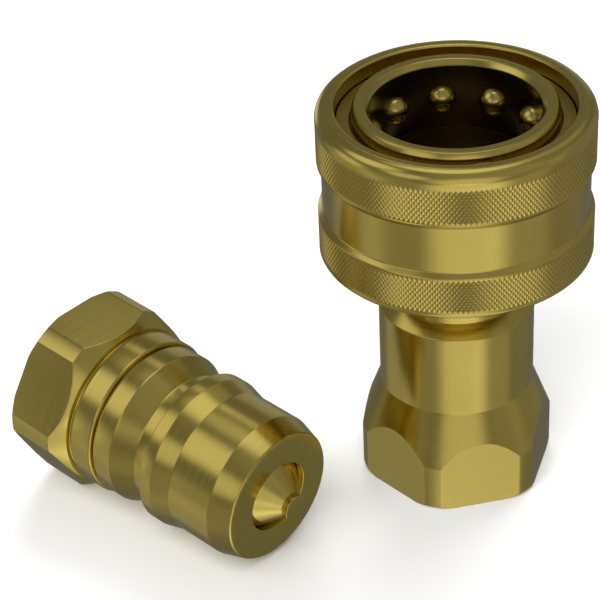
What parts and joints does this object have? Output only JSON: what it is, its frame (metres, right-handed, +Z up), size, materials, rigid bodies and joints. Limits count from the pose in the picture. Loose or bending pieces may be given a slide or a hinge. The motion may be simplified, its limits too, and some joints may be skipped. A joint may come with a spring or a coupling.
{
  "type": "quick coupling",
  "caption": "Brass ball-lock hydraulic quick coupling: a poppet-valved socket with a spring-loaded pull-back sleeve standing on its hexagon, and its plug lying beside it.",
  "frame": {"origin": "centre of the socket half's hexagonal end face, which stands on the floor", "axes": "+Z up along the socket's axis towards its mouth; +X through a corner of its hexagon; the plug lies towards -X"},
  "size_m": [0.0852, 0.0465, 0.0608],
  "materials": {
    "brass": "turned and lightly polished",
    "spring_steel": "drawn wire",
    "seal_rubber": "matt black nitrile",
    "backup_plastic": "matt PTFE"
  },
  "bodies": {
    "housings": {"coupler_body": "brass", "coupler_adapter": "brass", "coupler_body_seal": "seal_rubber", "coupler_spring_guide": "brass", "coupler_poppet_spring": "spring_steel", "sleeve_retaining_ring": "brass", "interface_seal": "seal_rubber", "backup_ring": "backup_plastic", "nipple_body": "brass", "nipple_adapter": "brass", "nipple_body_seal": "seal_rubber", "nipple_spring_guide": "brass", "nipple_poppet_spring": "spring_steel"},
    "sleeve_turner": {"sleeve_spring": "spring_steel"},
    "sleeve": {"sleeve": "brass"},
    "coupler_valve": {"coupler_poppet": "brass", "coupler_poppet_seal": "seal_rubber"},
    "nipple_valve": {"nipple_poppet": "brass", "nipple_poppet_seal": "seal_rubber"},
    "ball_01": {"ball_01": "brass"},
    "ball_02": {"ball_02": "brass"},
    "ball_03": {"ball_03": "brass"},
    "ball_04": {"ball_04": "brass"},
    "ball_05": {"ball_05": "brass"},
    "ball_06": {"ball_06": "brass"},
    "ball_07": {"ball_07": "brass"},
    "ball_08": {"ball_08": "brass"},
    "ball_09": {"ball_09": "brass"},
    "ball_10": {"ball_10": "brass"}
  },
  "joints": [
    {"name": "sleeve_turn", "type": "hinge", "parent": "housings", "child": "sleeve_turner", "pos_m": [0, 0, 0.0445], "axis": [0, 0, 1], "continuous": true},
    {"name": "sleeve_slide", "type": "slide", "parent": "sleeve_turner", "child": "sleeve", "axis": [0, 0, -1], "range_m": [0, 0.0044], "stiffness_N_per_m": 3500, "springref_m": -0.0045, "deforming": ["sleeve_spring"]},
    {"name": "coupler_valve_slide", "type": "slide", "parent": "housings", "child": "coupler_valve", "axis": [0, 0, -1], "range_m": [0, 0.0035], "stiffness_N_per_m": 3000, "springref_m": -0.0035, "deforming": ["coupler_poppet_spring"]},
    {"name": "nipple_valve_slide", "type": "slide", "parent": "housings", "child": "nipple_valve", "axis": [-0.5807, 0.8111, 0.0709], "range_m": [0, 0.0035], "stiffness_N_per_m": 3000, "springref_m": -0.0035, "deforming": ["nipple_poppet_spring"]},
    {"name": "ball_01_slide", "type": "slide", "parent": "housings", "child": "ball_01", "axis": [0.1115, 0.9938, 0], "range_m": [0, 0.00176]},
    {"name": "ball_02_slide", "type": "slide", "parent": "housings", "child": "ball_02", "axis": [-0.4939, 0.8695, 0], "range_m": [0, 0.00176]},
    {"name": "ball_03_slide", "type": "slide", "parent": "housings", "child": "ball_03", "axis": [-0.9107, 0.4131, 0], "range_m": [0, 0.00176]},
    {"name": "ball_04_slide", "type": "slide", "parent": "housings", "child": "ball_04", "axis": [-0.9796, -0.2011, 0], "range_m": [0, 0.00176]},
    {"name": "ball_05_slide", "type": "slide", "parent": "housings", "child": "ball_05", "axis": [-0.6743, -0.7385, 0], "range_m": [0, 0.00176]},
    {"name": "ball_06_slide", "type": "slide", "parent": "housings", "child": "ball_06", "axis": [-0.1115, -0.9938, 0], "range_m": [0, 0.00176]},
    {"name": "ball_07_slide", "type": "slide", "parent": "housings", "child": "ball_07", "axis": [0.4939, -0.8695, 0], "range_m": [0, 0.00176]},
    {"name": "ball_08_slide", "type": "slide", "parent": "housings", "child": "ball_08", "axis": [0.9107, -0.4131, 0], "range_m": [0, 0.00176]},
    {"name": "ball_09_slide", "type": "slide", "parent": "housings", "child": "ball_09", "axis": [0.9796, 0.2011, 0], "range_m": [0, 0.00176]},
    {"name": "ball_10_slide", "type": "slide", "parent": "housings", "child": "ball_10", "axis": [0.6743, 0.7385, 0], "range_m": [0, 0.00176]}
  ],
  "couplings": [
    {"joint": "ball_01_slide", "follows": "sleeve_slide", "ratio": 0.4006},
    {"joint": "ball_02_slide", "follows": "sleeve_slide", "ratio": 0.4006},
    {"joint": "ball_03_slide", "follows": "sleeve_slide", "ratio": 0.4006},
    {"joint": "ball_04_slide", "follows": "sleeve_slide", "ratio": 0.4006},
    {"joint": "ball_05_slide", "follows": "sleeve_slide", "ratio": 0.4006},
    {"joint": "ball_06_slide", "follows": "sleeve_slide", "ratio": 0.4006},
    {"joint": "ball_07_slide", "follows": "sleeve_slide", "ratio": 0.4006},
    {"joint": "ball_08_slide", "follows": "sleeve_slide", "ratio": 0.4006},
    {"joint": "ball_09_slide", "follows": "sleeve_slide", "ratio": 0.4006},
    {"joint": "ball_10_slide", "follows": "sleeve_slide", "ratio": 0.4006}
  ]
}
